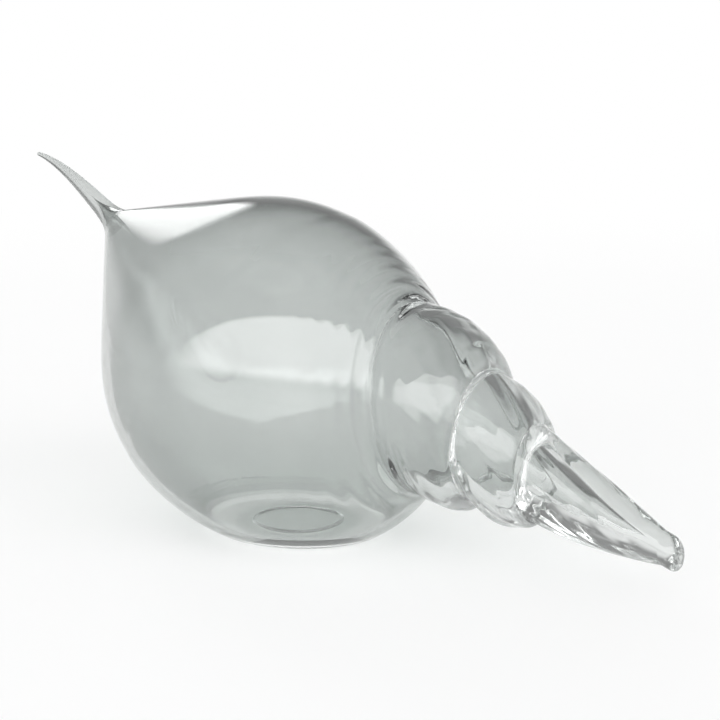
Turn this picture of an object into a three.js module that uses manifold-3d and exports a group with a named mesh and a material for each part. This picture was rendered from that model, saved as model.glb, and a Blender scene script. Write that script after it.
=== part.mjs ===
// Blown glass shell sculpture: a hollow egg-shaped bulb on a flattened base, a drawn spike at one end and a
// spire of whorls at the other. Millimetres, +Z up, +X towards the tip of the spire, symmetric about y = 0.
import * as THREE from "three";
import { mergeVertices } from "three/addons/utils/BufferGeometryUtils.js";
import Module from "manifold-3d";

// Bulb: an egg of revolution about an axis that falls towards the spire
const BULB_RADIUS = 79; // widest section, square to the axis
const BULB_TAIL = 94; // from the widest section to the end below the spire
const BULB_HEAD = 82.5; // from the widest section towards the spike, as an ellipse
const BULB_FALL = 33.5; // fall of the axis towards the spire, degrees
const BULB_WALL = 4;
const CONE_END = 111; // from the widest section to the end of the cone that the head is drawn out to
const CONE_END_RADIUS = 9.5;
const ROOT_SOLID = 3; // solid glass between the hollow and the cone's end
const HOLLOW_END_RADIUS = 6.8;

// Base pad: the flattened slice of the egg that the sculpture stands on
const BASE_HALF_WIDTH = 36.5; // of the flat face, along Y
const PAD_HEIGHT = 8.5;
const PONTIL_RADIUS = 21;
const PONTIL_DEPTH = 1.2;

// Spike: a solid rod that leaves the cone along the bulb's axis and bends over
const SPIKE_REACH = 53; // from the root to the tip, along X
const SPIKE_RISE = 33; // from the root to the tip, along Z
const SPIKE_TIP_CLIMB = 13; // climb of the tip, degrees
const SPIKE_ROOT_STRETCH = 16; // how far the root's direction holds
const SPIKE_TIP_STRETCH = 20; // how far the tip's direction holds
const SPIKE_RADIUS = 5.8;
const SPIKE_TIP_RADIUS = 0.9;
const SPIKE_FLARE = 18; // length over which the root widens to the cone's end

// Shoulder whorl: starts inside the bulb and ends at the first crease
const SHOULDER_DEPTH = 27; // from the bulb's side in to the whorl's first ring
const SHOULDER_SINK = 5; // centre of that ring below the bulb's centre
const SHOULDER_RADIUS = 39.5;
const SHOULDER_LEAN = -5; // lean of the ring's top towards the tip, degrees
const SHOULDER_WIDTH_RATIO = 0.9; // width over height of that ring
const SHOULDER_LENGTH = 48.5;
const SHOULDER_DROP = 13;
const SHOULDER_SWELL = 9;
const SHOULDER_LIFT = 5; // rise of the middle above a straight run
const WHORL_WALL = 5.5;
const WHORL_FULLNESS = 2.5; // power of the curve by which a whorl turns in at its far crease

// Second whorl: from the first crease to the second
const FIRST_CREASE_RADIUS = 28.3;
const FIRST_CREASE_LEAN = 2; // degrees
const SECOND_LENGTH = 26;
const SECOND_DROP = 13.4;
const SECOND_SWELL = 4.8;
const SECOND_LIFT = 0.6;

// Spire cone: from the second crease to the nib
const SECOND_CREASE_RADIUS = 20.5;
const SECOND_CREASE_LEAN = -3; // degrees
const CONE_LENGTH = 58.5;
const CONE_DROP = 23.4;
const CONE_SWELL = 1.2;
const CONE_SAG = 1; // dip of the middle below a straight run
const CONE_BORE_RADIUS = 8; // at the second crease
const CONE_TIP_SOLID = 8.5; // solid glass between the bore's point and the nib

// Nib: the fire-polished button at the end
const NIB_RADIUS = 7.3;
const NIB_LEAN = -3; // degrees
const NIB_LENGTH = 7.4;
const NIB_EDGE = 4; // rounding of its end
const NIB_RIM = 0.8; // flat ring between that rounding and the dimple
const NIB_DIMPLE_DEPTH = 0.8;

const JOINT_GAP = 0.3; // between pieces that meet
const ROUND_STEPS = 48; // facets round the bulb
const SPIRE_STEPS = 32; // facets round the spire and the base
const SPIKE_STEPS = 16; // facets round the spike
const CURVE_STEPS = 10; // steps along a curved stretch of an outline

const wasm = await Module();
wasm.setup();

// Closed three.js geometry as a solid that can be cut
function solidOf(geometry) {
  const bare = new THREE.BufferGeometry();
  bare.setAttribute("position", geometry.getAttribute("position"));
  bare.setIndex(geometry.getIndex());
  const merged = mergeVertices(bare, 1e-4);
  const vertProperties = merged.getAttribute("position").array;
  const triVerts = new Uint32Array(merged.getIndex().array);
  return new wasm.Manifold(new wasm.Mesh({ numProp: 3, vertProperties, triVerts }));
}

function geometryOf(solid) {
  const mesh = solid.getMesh();
  const geometry = new THREE.BufferGeometry();
  geometry.setAttribute("position", new THREE.BufferAttribute(mesh.vertProperties, 3));
  geometry.setIndex(new THREE.BufferAttribute(mesh.triVerts, 1));
  geometry.computeVertexNormals();
  return geometry;
}

const point = (radius, along) => new THREE.Vector2(radius, along);
const mix = (from, to, share) => from + (to - from) * share;

// Frame of the bulb: place of its centre, and the base that follows from the width of the flat face
const fall = THREE.MathUtils.degToRad(BULB_FALL);
const bulbDepth = Math.hypot(BULB_TAIL * Math.sin(fall), BULB_RADIUS * Math.cos(fall));
const bulbHeight = bulbDepth * Math.sqrt(1 - (BASE_HALF_WIDTH / BULB_RADIUS) ** 2);
const lowestX = ((BULB_TAIL ** 2 - BULB_RADIUS ** 2) * Math.sin(fall) * Math.cos(fall)) / bulbDepth;
const baseX = (lowestX * bulbHeight) / bulbDepth;
const headDirection = new THREE.Vector3(-Math.cos(fall), 0, Math.sin(fall));
const bulbCentre = new THREE.Vector3(0, 0, bulbHeight);
const bulbPlace = new THREE.Matrix4()
  .makeRotationY(fall - Math.PI / 2)
  .multiply(new THREE.Matrix4().makeRotationX(Math.PI / 2))
  .setPosition(bulbCentre);

// Egg of revolution: a tail ellipse, a head ellipse and a cone that leaves it on a tangent and ends in a disc
function eggSolid(tail, head, radius, coneEnd, coneEndRadius) {
  const reach = coneEnd / head;
  const rise = coneEndRadius / radius;
  const tangent = Math.asin(1 / Math.hypot(reach, rise)) - Math.atan2(rise, reach);
  const outline = [point(0, -tail)];
  for (let i = 1; i <= CURVE_STEPS; i++) {
    const angle = (Math.PI / 2) * (i / CURVE_STEPS - 1);
    outline.push(point(radius * Math.cos(angle), tail * Math.sin(angle)));
  }
  for (let i = 1; i <= CURVE_STEPS; i++) {
    const angle = (tangent * i) / CURVE_STEPS;
    outline.push(point(radius * Math.cos(angle), head * Math.sin(angle)));
  }
  outline.push(point(coneEndRadius, coneEnd), point(0, coneEnd));
  const egg = new THREE.LatheGeometry(outline, ROUND_STEPS);
  return solidOf(egg.applyMatrix4(bulbPlace));
}

const bulbOutside = eggSolid(BULB_TAIL, BULB_HEAD, BULB_RADIUS, CONE_END, CONE_END_RADIUS);
const bulbHollow = eggSolid(
  BULB_TAIL - BULB_WALL,
  BULB_HEAD - BULB_WALL,
  BULB_RADIUS - BULB_WALL,
  CONE_END - ROOT_SOLID,
  HOLLOW_END_RADIUS,
);

// Where the bulb's side lies along +X, at a depth below its centre
function bulbSide(depth) {
  const squareX = (Math.cos(fall) / BULB_TAIL) ** 2 + (Math.sin(fall) / BULB_RADIUS) ** 2;
  const cross = Math.sin(fall) * Math.cos(fall) * (BULB_TAIL ** -2 - BULB_RADIUS ** -2) * depth;
  const squareZ = (Math.sin(fall) / BULB_TAIL) ** 2 + (Math.cos(fall) / BULB_RADIUS) ** 2;
  return (-cross + Math.sqrt(cross ** 2 - squareX * (squareZ * depth ** 2 - 1))) / squareX;
}

// Rings that bound the spire's pieces, from the bulb to the nib
const shoulderRing = {
  x: bulbSide(SHOULDER_SINK) - SHOULDER_DEPTH,
  z: bulbHeight - SHOULDER_SINK,
  lean: SHOULDER_LEAN,
  width: SHOULDER_WIDTH_RATIO,
};
const firstCrease = {
  x: shoulderRing.x + SHOULDER_LENGTH,
  z: shoulderRing.z - SHOULDER_DROP,
  lean: FIRST_CREASE_LEAN,
  width: 1,
};
const secondCrease = {
  x: firstCrease.x + SECOND_LENGTH,
  z: firstCrease.z - SECOND_DROP,
  lean: SECOND_CREASE_LEAN,
  width: 1,
};
const nibRing = {
  x: secondCrease.x + CONE_LENGTH,
  z: secondCrease.z - CONE_DROP,
  lean: NIB_LEAN,
  width: 1,
};

// Centre, lean and width of the spire's section between two rings
function spineBetween(from, to, lift) {
  return (x) => {
    const share = (x - from.x) / (to.x - from.x);
    const arch = share > 1 ? 0 : 4 * lift * share * (1 - share);
    return {
      x,
      z: mix(from.z, to.z, share) + arch,
      lean: THREE.MathUtils.degToRad(mix(from.lean, to.lean, Math.min(share, 1))),
      width: mix(from.width, to.width, Math.min(share, 1)),
    };
  };
}

const shoulderSpine = spineBetween(shoulderRing, firstCrease, SHOULDER_LIFT);
const secondSpine = spineBetween(firstCrease, secondCrease, SECOND_LIFT);
const coneSpine = spineBetween(secondCrease, nibRing, -CONE_SAG);

// Solid of revolution whose outline runs along X, each of its rings then moved onto the spine
function latheOnSpine(outline, spine, steps) {
  const geometry = new THREE.LatheGeometry(outline, steps);
  const position = geometry.getAttribute("position");
  for (let i = 0; i < position.count; i++) {
    const { x, z, lean, width } = spine(position.getY(i));
    const up = position.getZ(i);
    const across = -position.getX(i) * width;
    position.setXYZ(i, x + up * Math.sin(lean), across, z + up * Math.cos(lean));
  }
  return geometry;
}

// Outline of a whorl's outside between two rings: it swells and then turns in sharply at the far crease
function whorlOutline(from, to, fromRadius, toRadius, swell) {
  const crest = (1 + WHORL_FULLNESS) ** (-1 / WHORL_FULLNESS); // value of rest where the swell is highest
  const crestHeight = crest * (1 - crest ** WHORL_FULLNESS);
  const outline = [];
  for (let i = 0; i <= CURVE_STEPS; i++) {
    const rest = 1 - i / CURVE_STEPS;
    const share = 1 - rest ** WHORL_FULLNESS;
    const radius = mix(fromRadius, toRadius, share) + (swell * share * rest) / crestHeight;
    outline.push(point(radius, mix(from.x, to.x, share)));
  }
  return outline;
}

const shoulderOutline = whorlOutline(
  shoulderRing,
  { x: firstCrease.x - JOINT_GAP },
  SHOULDER_RADIUS,
  FIRST_CREASE_RADIUS,
  SHOULDER_SWELL,
);

// Closed outline of a tube from its outside and inside
const tubeOutline = (outside, inside) => [...outside, ...inside.toReversed(), outside[0]];

// Everything inside the shoulder whorl's outside, with the clearance that the bulb's opening keeps round it
function shoulderPlug() {
  const outside = shoulderOutline.map((p) => point(p.x + JOINT_GAP, p.y));
  const outline = [point(0, outside[0].y), ...outside, point(0, outside.at(-1).y)];
  return solidOf(latheOnSpine(outline, shoulderSpine, SPIRE_STEPS));
}

// A block that holds everything between two heights
function slab(low, high) {
  const span = 4 * (CONE_END + BULB_TAIL);
  const box = new THREE.BoxGeometry(span, span, high - low);
  return solidOf(box.translate(0, 0, (low + high) / 2));
}

function bodyBulb() {
  const below = slab(-BULB_TAIL, PAD_HEIGHT + JOINT_GAP);
  return geometryOf(bulbOutside.subtract(bulbHollow).subtract(shoulderPlug()).subtract(below));
}

// The polished pontil mark is a shallow round dish in the base
function pontilDish() {
  const bowlRadius = (PONTIL_RADIUS ** 2 + PONTIL_DEPTH ** 2) / (2 * PONTIL_DEPTH);
  const half = Math.asin(PONTIL_RADIUS / bowlRadius);
  const outline = [point(0, -PONTIL_DEPTH), point(PONTIL_RADIUS, -PONTIL_DEPTH)];
  for (let i = 0; i < CURVE_STEPS; i++) {
    const angle = half * (1 - i / CURVE_STEPS);
    outline.push(point(bowlRadius * Math.sin(angle), PONTIL_DEPTH + bowlRadius * (Math.cos(angle) - 1)));
  }
  outline.push(point(0, PONTIL_DEPTH));
  const dish = new THREE.LatheGeometry(outline, SPIRE_STEPS);
  return solidOf(dish.rotateX(Math.PI / 2).translate(baseX, 0, 0));
}

function basePad() {
  return geometryOf(bulbOutside.intersect(slab(0, PAD_HEIGHT)).subtract(pontilDish()));
}

// The spike's axis leaves the cone's end along the bulb's axis and bends over towards the tip
function siphonSpike() {
  const climb = THREE.MathUtils.degToRad(SPIKE_TIP_CLIMB);
  const root = bulbCentre.clone().addScaledVector(headDirection, CONE_END + JOINT_GAP);
  const tip = root.clone().add(new THREE.Vector3(-SPIKE_REACH, 0, SPIKE_RISE));
  const tipDirection = new THREE.Vector3(-Math.cos(climb), 0, Math.sin(climb));
  const axis = new THREE.CubicBezierCurve3(
    root,
    root.clone().addScaledVector(headDirection, SPIKE_ROOT_STRETCH),
    tip.clone().addScaledVector(tipDirection, -SPIKE_TIP_STRETCH),
    tip,
  );
  const length = axis.getLength();
  const outline = [point(0, 0)];
  const steps = 2 * CURVE_STEPS;
  for (let i = 0; i <= steps; i++) {
    const along = ((length - SPIKE_TIP_RADIUS) * i) / steps;
    const taper = mix(SPIKE_RADIUS, SPIKE_TIP_RADIUS, along / length);
    const flare = (CONE_END_RADIUS - SPIKE_RADIUS) * Math.max(0, 1 - along / SPIKE_FLARE) ** 3;
    outline.push(point(taper + flare, along));
  }
  outline.push(point(0, length));
  const spine = (along) => {
    const share = Math.min(along / length, 1); // a rounded coordinate may lie past the end
    const centre = axis.getPointAt(share);
    const direction = axis.getTangentAt(share);
    return { x: centre.x, z: centre.z, lean: Math.PI + Math.atan2(direction.z, -direction.x), width: 1 };
  };
  return latheOnSpine(outline, spine, SPIKE_STEPS);
}

function shoulderWhorl() {
  const inside = shoulderOutline.map((p) => point(p.x - WHORL_WALL, p.y));
  const tube = latheOnSpine(tubeOutline(shoulderOutline, inside), shoulderSpine, SPIRE_STEPS);
  return geometryOf(solidOf(tube).subtract(bulbHollow));
}

// The bore narrows from the shoulder's to the cone's
function secondWhorl() {
  const end = { x: secondCrease.x - JOINT_GAP };
  const outside = whorlOutline(firstCrease, end, FIRST_CREASE_RADIUS, SECOND_CREASE_RADIUS, SECOND_SWELL);
  const inside = whorlOutline(
    firstCrease,
    end,
    FIRST_CREASE_RADIUS - WHORL_WALL,
    CONE_BORE_RADIUS,
    SECOND_SWELL,
  );
  return latheOnSpine(tubeOutline(outside, inside), secondSpine, SPIRE_STEPS);
}

// The bore runs out to a point inside the cone
function spireCone() {
  const boreEnd = nibRing.x - CONE_TIP_SOLID;
  const outline = [point(0, boreEnd), point(CONE_BORE_RADIUS, secondCrease.x)];
  for (let i = 0; i <= CURVE_STEPS; i++) {
    const share = i / CURVE_STEPS;
    const radius = mix(SECOND_CREASE_RADIUS, NIB_RADIUS, share) + 4 * CONE_SWELL * share * (1 - share);
    outline.push(point(radius, mix(secondCrease.x, nibRing.x - JOINT_GAP, share)));
  }
  outline.push(point(0, nibRing.x - JOINT_GAP));
  return latheOnSpine(outline, coneSpine, SPIRE_STEPS);
}

function tipNib() {
  const end = nibRing.x + NIB_LENGTH;
  const outline = [point(0, nibRing.x), point(NIB_RADIUS, nibRing.x)];
  for (let i = 0; i <= CURVE_STEPS; i++) {
    const angle = (Math.PI / 2) * (i / CURVE_STEPS);
    const radius = NIB_RADIUS - NIB_EDGE * (1 - Math.cos(angle));
    outline.push(point(radius, end - NIB_EDGE * (1 - Math.sin(angle))));
  }
  outline.push(point(NIB_RADIUS - NIB_EDGE - NIB_RIM, end), point(0, end - NIB_DIMPLE_DEPTH));
  return latheOnSpine(outline, coneSpine, SPIRE_STEPS);
}

// Clear glass with a faint grey-green cast, a little darker where it is thick
function glass(colour) {
  return new THREE.MeshStandardMaterial({
    color: colour,
    roughness: 0.02,
    metalness: 0,
    transparent: true,
    opacity: 0.35,
  });
}

const THIN_GLASS = 0xdce3df;
const THICK_GLASS = 0xcdd7d1;

const pieces = new THREE.Group();

function addPiece(name, geometry, colour) {
  const piece = new THREE.Mesh(geometry, glass(colour));
  piece.name = name;
  pieces.add(piece);
}

addPiece("body_bulb", bodyBulb(), THIN_GLASS);
addPiece("base_pad", basePad(), THICK_GLASS);
addPiece("siphon_spike", siphonSpike(), THICK_GLASS);
addPiece("shoulder_whorl", shoulderWhorl(), THIN_GLASS);
addPiece("second_whorl", secondWhorl(), THIN_GLASS);
addPiece("spire_cone", spireCone(), THICK_GLASS);
addPiece("tip_nib", tipNib(), THICK_GLASS);

// The origin is on the table, under the middle of the sculpture's length
const extent = new THREE.Box3().setFromObject(pieces, true);
pieces.position.x = -(extent.min.x + extent.max.x) / 2;

const sculpture = new THREE.Group();
sculpture.add(pieces);

export default sculpture;
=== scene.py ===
# %% [markdown]
# # A blown glass shell
# This lesson dresses the CAD model of a clear glass sea shell. The real one is blown and drawn by hand: a
# hollow egg-shaped bulb on a flattened base, a spike pulled from one end, and whorls that shrink to a nib
# at the other. The CAD solids give every piece its place, so each piece here is modelled at that place,
# in metres, and then stands in for its solid.

# %% Load the CAD model as a fixed frame
from collections import namedtuple
from math import asin, atan2, cos, exp, hypot, pi, radians, sin, sqrt

import bpy
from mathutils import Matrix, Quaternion, Vector
from mathutils.geometry import interpolate_bezier


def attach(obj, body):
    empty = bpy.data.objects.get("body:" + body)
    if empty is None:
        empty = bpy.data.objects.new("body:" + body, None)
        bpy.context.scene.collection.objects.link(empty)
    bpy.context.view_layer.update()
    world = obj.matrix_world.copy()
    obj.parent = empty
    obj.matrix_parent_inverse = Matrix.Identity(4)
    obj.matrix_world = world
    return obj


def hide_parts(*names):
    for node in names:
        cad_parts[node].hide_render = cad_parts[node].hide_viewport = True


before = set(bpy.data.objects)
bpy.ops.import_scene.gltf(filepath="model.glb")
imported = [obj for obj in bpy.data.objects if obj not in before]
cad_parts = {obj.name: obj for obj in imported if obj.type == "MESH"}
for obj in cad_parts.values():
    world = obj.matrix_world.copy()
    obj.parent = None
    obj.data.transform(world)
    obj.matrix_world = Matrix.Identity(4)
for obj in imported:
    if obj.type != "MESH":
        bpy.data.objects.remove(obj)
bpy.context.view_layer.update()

print("CAD nodes:", sorted(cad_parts))

# %% [markdown]
# ## The bulb's measures
# The bulb is an egg of revolution. Its axis falls towards the spire, and its head is drawn out to a cone
# that ends where the spike begins. The base is a flat cut through the egg, so the height of the egg's
# centre follows from the width of that flat.

# %% Sizes of the bulb and its base
BULB_X = -0.0285057  # puts the middle of the shell's length over the origin, as in the CAD model
BULB_RADIUS = 0.079
BULB_TAIL = 0.094  # lengths along the axis are from the widest section
BULB_HEAD = 0.0825
BULB_FALL = radians(33.5)
BULB_WALL = 0.004
CONE_END = 0.111
CONE_END_RADIUS = 0.0095
HOLLOW_END = 0.112  # the hollow runs on into the spike
HOLLOW_END_RADIUS = 0.0054
BASE_HALF_WIDTH = 0.0365
PAD_HEIGHT = 0.0085

bulb_depth = hypot(BULB_TAIL * sin(BULB_FALL), BULB_RADIUS * cos(BULB_FALL))  # of the egg below its centre
bulb_centre = Vector((BULB_X, 0, bulb_depth * sqrt(1 - (BASE_HALF_WIDTH / BULB_RADIUS) ** 2)))
head_direction = Vector((-cos(BULB_FALL), 0, sin(BULB_FALL)))
square_direction = Vector((sin(BULB_FALL), 0, cos(BULB_FALL)))
print("bulb centre:", bulb_centre[:])

# %% [markdown]
# ## The outline of the bulb
# Half of the egg's outline is two quarter ellipses, and a straight side that leaves the head on a
# tangent. Drawn glass has no line where a cone begins, so a few passes of averaging let that side run
# softly into the head.

# %% Work out the outlines of the bulb and its hollow
TAIL_STEPS = 80
CONE_SIDE_STEPS = 20
HEAD_STEPS = 24
SOFTEN_START = 5  # the first outline point that may move
SOFTEN_END = 40
SOFTEN_PASSES = 24


def soften(points):
    """Lets the outline's points settle between their neighbours, where the cone runs into the head."""
    for i in range(SOFTEN_PASSES):
        before = list(points)
        for k in range(SOFTEN_START, SOFTEN_END):
            neighbours = zip(before[k - 1], before[k], before[k + 1])
            points[k] = tuple((last + 2 * own + following) / 4 for last, own, following in neighbours)
    return points


def egg_outline(tail, head, radius, cone_end, end_radius):
    """Points (along, radius) from the end of the cone to the tail's pole."""
    reach = cone_end / head
    rise = end_radius / radius
    tangent = asin(1 / hypot(reach, rise)) - atan2(rise, reach)
    length = cone_end - head * sin(tangent)
    slope = (radius * cos(tangent) - end_radius) / length
    depths = [length * i / CONE_SIDE_STEPS for i in range(CONE_SIDE_STEPS)]
    head_turns = [tangent * i / HEAD_STEPS for i in range(HEAD_STEPS, 0, -1)]
    tail_turns = [pi / 2 * i / TAIL_STEPS for i in range(TAIL_STEPS)]
    points = [(cone_end, 0)]
    points += [(cone_end - depth, end_radius + slope * depth) for depth in depths]
    points += [(head * sin(turn), radius * cos(turn)) for turn in head_turns]
    points += [(-tail * sin(turn), radius * cos(turn)) for turn in tail_turns]
    return soften(points) + [(-tail, 0)]


bulb_outline = egg_outline(BULB_TAIL, BULB_HEAD, BULB_RADIUS, CONE_END, CONE_END_RADIUS)
hollow_outline = egg_outline(
    BULB_TAIL - BULB_WALL,
    BULB_HEAD - BULB_WALL,
    BULB_RADIUS - BULB_WALL,
    HOLLOW_END,
    HOLLOW_END_RADIUS,
)
print(len(bulb_outline), "points in each outline")

# %% [markdown]
# ## Spinning the bulb
# A blown bulb turns on its pipe while it is shaped, so it is round about its axis. Blender's Spin does
# the same with a line. The line starts as one vertex: a triangle merged at its centre. Extruding that
# vertex from point to point draws the outline. The hollow is spun half a side on, so that its edges don't
# lie along the bulb's.

# %% Spin the bulb and its hollow
BULB_SIDES = 224
MILLIMETRE = 0.001
MERGE_DISTANCE = 1e-6


def merge_doubles():
    bpy.ops.mesh.select_all(action="SELECT")
    bpy.ops.mesh.remove_doubles(threshold=MERGE_DISTANCE)


def leave_piece():
    """Faces everything outwards and goes back to object mode."""
    bpy.ops.mesh.select_all(action="SELECT")
    bpy.ops.mesh.normals_make_consistent(inside=False)
    bpy.ops.object.mode_set(mode="OBJECT")


def spin_egg(name, outline, start_turn):
    """A closed egg round the bulb's axis, with its seam turned from the top."""
    outward = Quaternion(head_direction, start_turn) @ square_direction
    places = [bulb_centre + along * head_direction + out * outward for along, out in outline]
    bpy.ops.object.select_all(action="DESELECT")
    bpy.ops.mesh.primitive_circle_add(vertices=3, radius=MILLIMETRE, location=places[0])
    egg = bpy.context.object
    egg.name = name
    bpy.ops.object.transform_apply(location=True, rotation=True, scale=True)
    bpy.ops.object.mode_set(mode="EDIT")
    bpy.ops.mesh.select_all(action="SELECT")
    bpy.ops.mesh.merge(type="CENTER")
    for before, place in zip(places, places[1:]):
        bpy.ops.mesh.extrude_region_move(TRANSFORM_OT_translate={"value": place - before})
    bpy.ops.mesh.select_all(action="SELECT")
    bpy.ops.mesh.spin(steps=BULB_SIDES, angle=2 * pi, center=bulb_centre, axis=head_direction)
    merge_doubles()
    leave_piece()
    return egg


def print_faces(*pieces):
    for piece in pieces:
        print(piece.name, len(piece.data.polygons), "faces")


bulb = spin_egg("bulb_glass", bulb_outline, 0)
hollow = spin_egg("bulb_hollow", hollow_outline, pi / BULB_SIDES)
print_faces(bulb, hollow)

# %% [markdown]
# ## Pulling rings along a spine
# The spire, the spike and the base are round too, but they bend, lean and grow oval, so one spin can't
# make them. They are pulled instead: a circle is extruded again and again, and each new ring is moved,
# scaled and tilted to its own place. A ring has a centre in the plane of symmetry, a half height, a half
# width and a lean.

# %% Start a piece with a ring, pull more rings from it, and close it
Ring = namedtuple("Ring", "x z up across lean")


def start_piece(name, ring, sides):
    """A new piece in edit mode that holds one circle."""
    bpy.ops.object.select_all(action="DESELECT")
    centre = (ring.x, 0, ring.z)
    turn = (0, ring.lean - pi / 2, 0)
    bpy.ops.mesh.primitive_circle_add(vertices=sides, radius=ring.up, location=centre, rotation=turn)
    piece = bpy.context.object
    piece.name = name
    bpy.ops.object.transform_apply(location=True, rotation=True, scale=True)
    bpy.ops.object.mode_set(mode="EDIT")
    bpy.ops.mesh.select_mode(type="EDGE")
    bpy.ops.mesh.select_all(action="SELECT")
    bpy.ops.transform.resize(value=(1, ring.across / ring.up, 1), center_override=centre)
    return piece


def pull_rings(rings):
    """Extrudes the selected ring, which is the first of rings, to each of the others."""
    for before, ring in zip(rings, rings[1:]):
        centre = (ring.x, 0, ring.z)
        taller = ring.up / before.up
        wider = ring.across / before.across
        step = (ring.x - before.x, 0, ring.z - before.z)
        bpy.ops.mesh.extrude_region_move(TRANSFORM_OT_translate={"value": step})
        bpy.ops.transform.resize(value=(taller, wider, taller), center_override=centre)
        bpy.ops.transform.rotate(value=before.lean - ring.lean, orient_axis="Y", center_override=centre)


def select_open_edges():
    bpy.ops.mesh.select_mode(type="EDGE")
    bpy.ops.mesh.select_all(action="DESELECT")
    bpy.ops.mesh.select_non_manifold(
        use_wire=False,
        use_multi_face=False,
        use_non_contiguous=False,
        use_verts=False,
    )


def close_piece(bridge):
    """Joins the two open ends to each other, or caps the one that is open, and leaves the piece."""
    merge_doubles()
    select_open_edges()
    if bridge:
        bpy.ops.mesh.bridge_edge_loops()
    else:
        bpy.ops.mesh.edge_face_add()
    leave_piece()


# %% [markdown]
# ## The spire's rings
# Four rings bound the pieces of the spire: one inside the bulb, the two creases and the nib's. The first
# is placed from the bulb's side, which is the far end of a level cut through the egg. Each of the others
# is placed from the one before it, so that a change to one whorl carries the rest of the spire along.

# %% Place the four rings
SHOULDER_DEPTH = 0.027  # from the bulb's side in to the first ring
SHOULDER_SINK = 0.005  # its centre below the bulb's
SHOULDER_RADIUS = 0.0395
SHOULDER_WIDTH_RATIO = 0.9
SHOULDER_LEAN = radians(-5)
SHOULDER_LENGTH = 0.0485
SHOULDER_DROP = 0.013
FIRST_CREASE_RADIUS = 0.0283
FIRST_CREASE_LEAN = radians(2)
SECOND_LENGTH = 0.026
SECOND_DROP = 0.0134
SECOND_CREASE_RADIUS = 0.0205
SECOND_CREASE_LEAN = radians(-3)
CONE_LENGTH = 0.0585
CONE_DROP = 0.0234
NIB_RADIUS = 0.0073
NIB_LEAN = radians(-3)
LEVEL = pi / 2  # lean of a ring that lies flat


def level_ring(wall, height):
    """The level cut through the egg that lies a wall's thickness inside the bulb."""
    tail = BULB_TAIL - wall
    radius = BULB_RADIUS - wall
    depth = bulb_centre.z - height
    square_x = (cos(BULB_FALL) / tail) ** 2 + (sin(BULB_FALL) / radius) ** 2
    square_z = (sin(BULB_FALL) / tail) ** 2 + (cos(BULB_FALL) / radius) ** 2
    cross = sin(BULB_FALL) * cos(BULB_FALL) * (tail ** -2 - radius ** -2) * depth
    rest = 1 - square_z * depth ** 2 + cross ** 2 / square_x
    return Ring(BULB_X - cross / square_x, height, sqrt(rest / square_x), radius * sqrt(rest), LEVEL)


def next_ring(ring, length, drop, radius, lean):
    return Ring(ring.x + length, ring.z - drop, radius, radius, lean)


bulb_side = level_ring(0, bulb_centre.z - SHOULDER_SINK)
shoulder_ring = Ring(
    x=bulb_side.x + bulb_side.up - SHOULDER_DEPTH,
    z=bulb_side.z,
    up=SHOULDER_RADIUS,
    across=SHOULDER_RADIUS * SHOULDER_WIDTH_RATIO,
    lean=SHOULDER_LEAN,
)
first_crease = next_ring(
    shoulder_ring, SHOULDER_LENGTH, SHOULDER_DROP, FIRST_CREASE_RADIUS, FIRST_CREASE_LEAN
)
second_crease = next_ring(
    first_crease, SECOND_LENGTH, SECOND_DROP, SECOND_CREASE_RADIUS, SECOND_CREASE_LEAN
)
nib_ring = next_ring(second_crease, CONE_LENGTH, CONE_DROP, NIB_RADIUS, NIB_LEAN)
print("creases at x =", round(first_crease.x, 4), round(second_crease.x, 4), round(nib_ring.x, 4))

# %% [markdown]
# ## The two hollow whorls
# Between two rings a whorl swells and then turns in sharply at the far crease, and its middle follows a
# gentle arch. Each whorl is a tube: pulled along its outside, over the far end, and back along its bore.
# Bridging the two open rings closes it. The shoulder whorl starts inside the bulb, so that it can be
# trimmed to the bulb's inner surface, and a plug with the same outside will cut the bulb's opening.

# %% Rings of a whorl
WHORL_STEPS = 40
WHORL_FULLNESS = 2.5  # power of the curve by which a whorl turns in at its far crease
crest = (1 + WHORL_FULLNESS) ** (-1 / WHORL_FULLNESS)  # value of rest where the swell is highest
crest_height = crest * (1 - crest ** WHORL_FULLNESS)


def mix(low, high, share):
    return low + (high - low) * share


def shares(steps):
    """Even steps from 0 to 1."""
    return [i / steps for i in range(steps + 1)]


def ring_between(start, end, lift, share, radius):
    """The ring of that radius at a share of the way along an arched spine."""
    arch = 4 * lift * share * (1 - share)
    width = mix(start.across / start.up, end.across / end.up, share)
    return Ring(
        x=mix(start.x, end.x, share),
        z=mix(start.z, end.z, share) + arch,
        up=radius,
        across=radius * width,
        lean=mix(start.lean, end.lean, share),
    )


def whorl_rings(start, end, lift, start_radius, end_radius, swell, steps=WHORL_STEPS):
    """Rings of a surface that swells between two radii and turns in sharply at its end."""
    rings = []
    for way in shares(steps):
        rest = 1 - way
        share = 1 - rest ** WHORL_FULLNESS
        radius = mix(start_radius, end_radius, share) + swell * share * rest / crest_height
        rings.append(ring_between(start, end, lift, share, radius))
    return rings


# %% Model the whorls and the plug
SPIRE_SIDES = 144
SHOULDER_STEPS = 100  # more rings, because its outside will be rippled
SHOULDER_SWELL = 0.009
SHOULDER_LIFT = 0.005
SECOND_SWELL = 0.0048
SECOND_LIFT = 0.0006
WHORL_WALL = 0.0055
CONE_BORE_RADIUS = 0.008

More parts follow.
